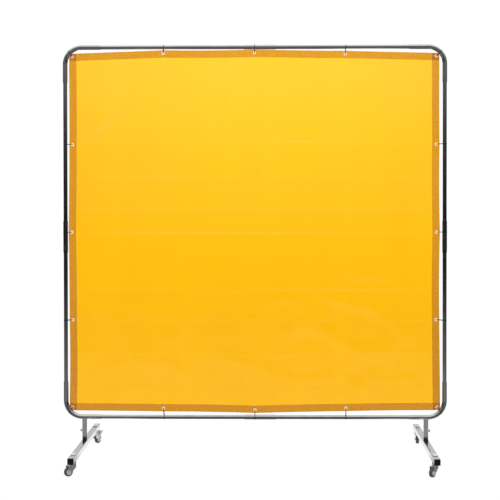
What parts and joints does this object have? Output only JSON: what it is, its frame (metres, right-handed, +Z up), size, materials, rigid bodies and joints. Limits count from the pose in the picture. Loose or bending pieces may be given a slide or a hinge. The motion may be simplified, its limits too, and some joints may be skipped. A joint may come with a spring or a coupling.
{
  "type": "welding curtain screen",
  "caption": "Free-standing welding screen: tinted vinyl curtain tied with cable ties through eyelets into a round-tube frame on castored square-tube bases.",
  "frame": {"origin": "on the floor, under the middle of the screen", "axes": "+X to the right along the screen's width, +Y to the back, through the screen, +Z up"},
  "size_m": [1.832, 0.6, 1.9776],
  "materials": {
    "tinted_vinyl": "tinted translucent flexible vinyl film, smooth, faint fold creases",
    "eyelet_metal": "nickel-plated pressed metal",
    "tie_nylon": "black moulded nylon",
    "cap_plastic": "black moulded plastic",
    "tyre_rubber": "dark grey-black rubber",
    "hub_plastic": "light grey moulded plastic",
    "caster_zinc": "zinc-plated pressed steel",
    "base_chrome": "chromed square tube",
    "sleeve_chrome": "chromed round tube",
    "tube_chrome": "chromed round tube",
    "ball_steel": "polished steel",
    "bolt_black": "blackened steel",
    "fastener_zinc": "bright zinc-plated steel"
  },
  "bodies": {
    "root": {"base_bar_left": "base_chrome", "base_bar_right": "base_chrome", "base_stub_left": "tube_chrome", "base_stub_right": "tube_chrome", "bottom_rail_left": "tube_chrome", "bottom_rail_right": "tube_chrome", "cable_ties": "tie_nylon", "caster_nuts": "fastener_zinc", "caster_stem_front_left": "caster_zinc", "caster_stem_front_right": "caster_zinc", "caster_stem_rear_left": "caster_zinc", "caster_stem_rear_right": "caster_zinc", "caster_washers": "fastener_zinc", "clamp_nuts": "fastener_zinc", "coupler_bottom": "sleeve_chrome", "coupler_left": "sleeve_chrome", "coupler_right": "sleeve_chrome", "coupler_top": "sleeve_chrome", "curtain": "tinted_vinyl", "elbow_bottom_left": "sleeve_chrome", "elbow_bottom_right": "sleeve_chrome", "elbow_top_left": "sleeve_chrome", "elbow_top_right": "sleeve_chrome", "end_cap_front_left": "cap_plastic", "end_cap_front_right": "cap_plastic", "end_cap_rear_left": "cap_plastic", "end_cap_rear_right": "cap_plastic", "eyelets": "eyelet_metal", "leg_post_left": "sleeve_chrome", "leg_post_right": "sleeve_chrome", "swivel_balls": "ball_steel", "top_rail_left": "tube_chrome", "top_rail_right": "tube_chrome", "upright_lower_left": "tube_chrome", "upright_lower_right": "tube_chrome", "upright_upper_left": "tube_chrome", "upright_upper_right": "tube_chrome"},
    "swivel_front_left": {"caster_fork_front_left": "caster_zinc", "wheel_axle_front_left": "fastener_zinc"},
    "wheel_front_left": {"wheel_tyre_front_left": "tyre_rubber", "wheel_hub_front_left": "hub_plastic"},
    "swivel_front_right": {"caster_fork_front_right": "caster_zinc", "wheel_axle_front_right": "fastener_zinc"},
    "wheel_front_right": {"wheel_tyre_front_right": "tyre_rubber", "wheel_hub_front_right": "hub_plastic"},
    "swivel_rear_left": {"caster_fork_rear_left": "caster_zinc", "wheel_axle_rear_left": "fastener_zinc", "brake_rivet_rear_left": "fastener_zinc"},
    "wheel_rear_left": {"wheel_tyre_rear_left": "tyre_rubber", "wheel_hub_rear_left": "hub_plastic"},
    "pedal_rear_left": {"brake_pedal_rear_left": "caster_zinc"},
    "swivel_rear_right": {"caster_fork_rear_right": "caster_zinc", "wheel_axle_rear_right": "fastener_zinc", "brake_rivet_rear_right": "fastener_zinc"},
    "wheel_rear_right": {"wheel_tyre_rear_right": "tyre_rubber", "wheel_hub_rear_right": "hub_plastic"},
    "pedal_rear_right": {"brake_pedal_rear_right": "caster_zinc"},
    "clamp_left": {"clamp_bolt_left": "bolt_black"},
    "clamp_right": {"clamp_bolt_right": "bolt_black"}
  },
  "joints": [
    {"name": "swivel_front_left_turn", "type": "hinge", "parent": "root", "child": "swivel_front_left", "pos_m": [-0.815, -0.245, 0.053], "axis": [0, 0, 1], "continuous": true},
    {"name": "wheel_front_left_spin", "type": "hinge", "parent": "swivel_front_left", "child": "wheel_front_left", "pos_m": [-0.83197, -0.26197, 0.0205], "axis": [0.7071, -0.7071, 0], "continuous": true},
    {"name": "swivel_front_right_turn", "type": "hinge", "parent": "root", "child": "swivel_front_right", "pos_m": [0.815, -0.245, 0.053], "axis": [0, 0, 1], "continuous": true},
    {"name": "wheel_front_right_spin", "type": "hinge", "parent": "swivel_front_right", "child": "wheel_front_right", "pos_m": [0.79957, -0.26338, 0.0205], "axis": [0.766, -0.6428, 0], "continuous": true},
    {"name": "swivel_rear_left_turn", "type": "hinge", "parent": "root", "child": "swivel_rear_left", "pos_m": [-0.815, 0.245, 0.053], "axis": [0, 0, 1], "continuous": true},
    {"name": "wheel_rear_left_spin", "type": "hinge", "parent": "swivel_rear_left", "child": "wheel_rear_left", "pos_m": [-0.80543, 0.26701, 0.0205], "axis": [-0.9171, 0.3987, 0], "continuous": true},
    {"name": "pedal_rear_left_press", "type": "hinge", "parent": "swivel_rear_left", "child": "pedal_rear_left", "pos_m": [-0.80463, 0.26884, 0.0443], "axis": [-0.9171, 0.3987, 0], "range_deg": [0, 6]},
    {"name": "swivel_rear_right_turn", "type": "hinge", "parent": "root", "child": "swivel_rear_right", "pos_m": [0.815, 0.245, 0.053], "axis": [0, 0, 1], "continuous": true},
    {"name": "wheel_rear_right_spin", "type": "hinge", "parent": "swivel_rear_right", "child": "wheel_rear_right", "pos_m": [0.81851, 0.26874, 0.0205], "axis": [-0.9893, 0.1461, 0], "continuous": true},
    {"name": "pedal_rear_right_press", "type": "hinge", "parent": "swivel_rear_right", "child": "pedal_rear_right", "pos_m": [0.8188, 0.27072, 0.0443], "axis": [-0.9893, 0.1461, 0], "range_deg": [0, 6]},
    {"name": "clamp_left_turn", "type": "hinge", "parent": "root", "child": "clamp_left", "pos_m": [-0.8285, 0, 0.137], "axis": [-1, 0, 0], "range_deg": [0, 720]},
    {"name": "clamp_right_turn", "type": "hinge", "parent": "root", "child": "clamp_right", "pos_m": [0.8285, 0, 0.137], "axis": [1, 0, 0], "range_deg": [0, 720]}
  ]
}
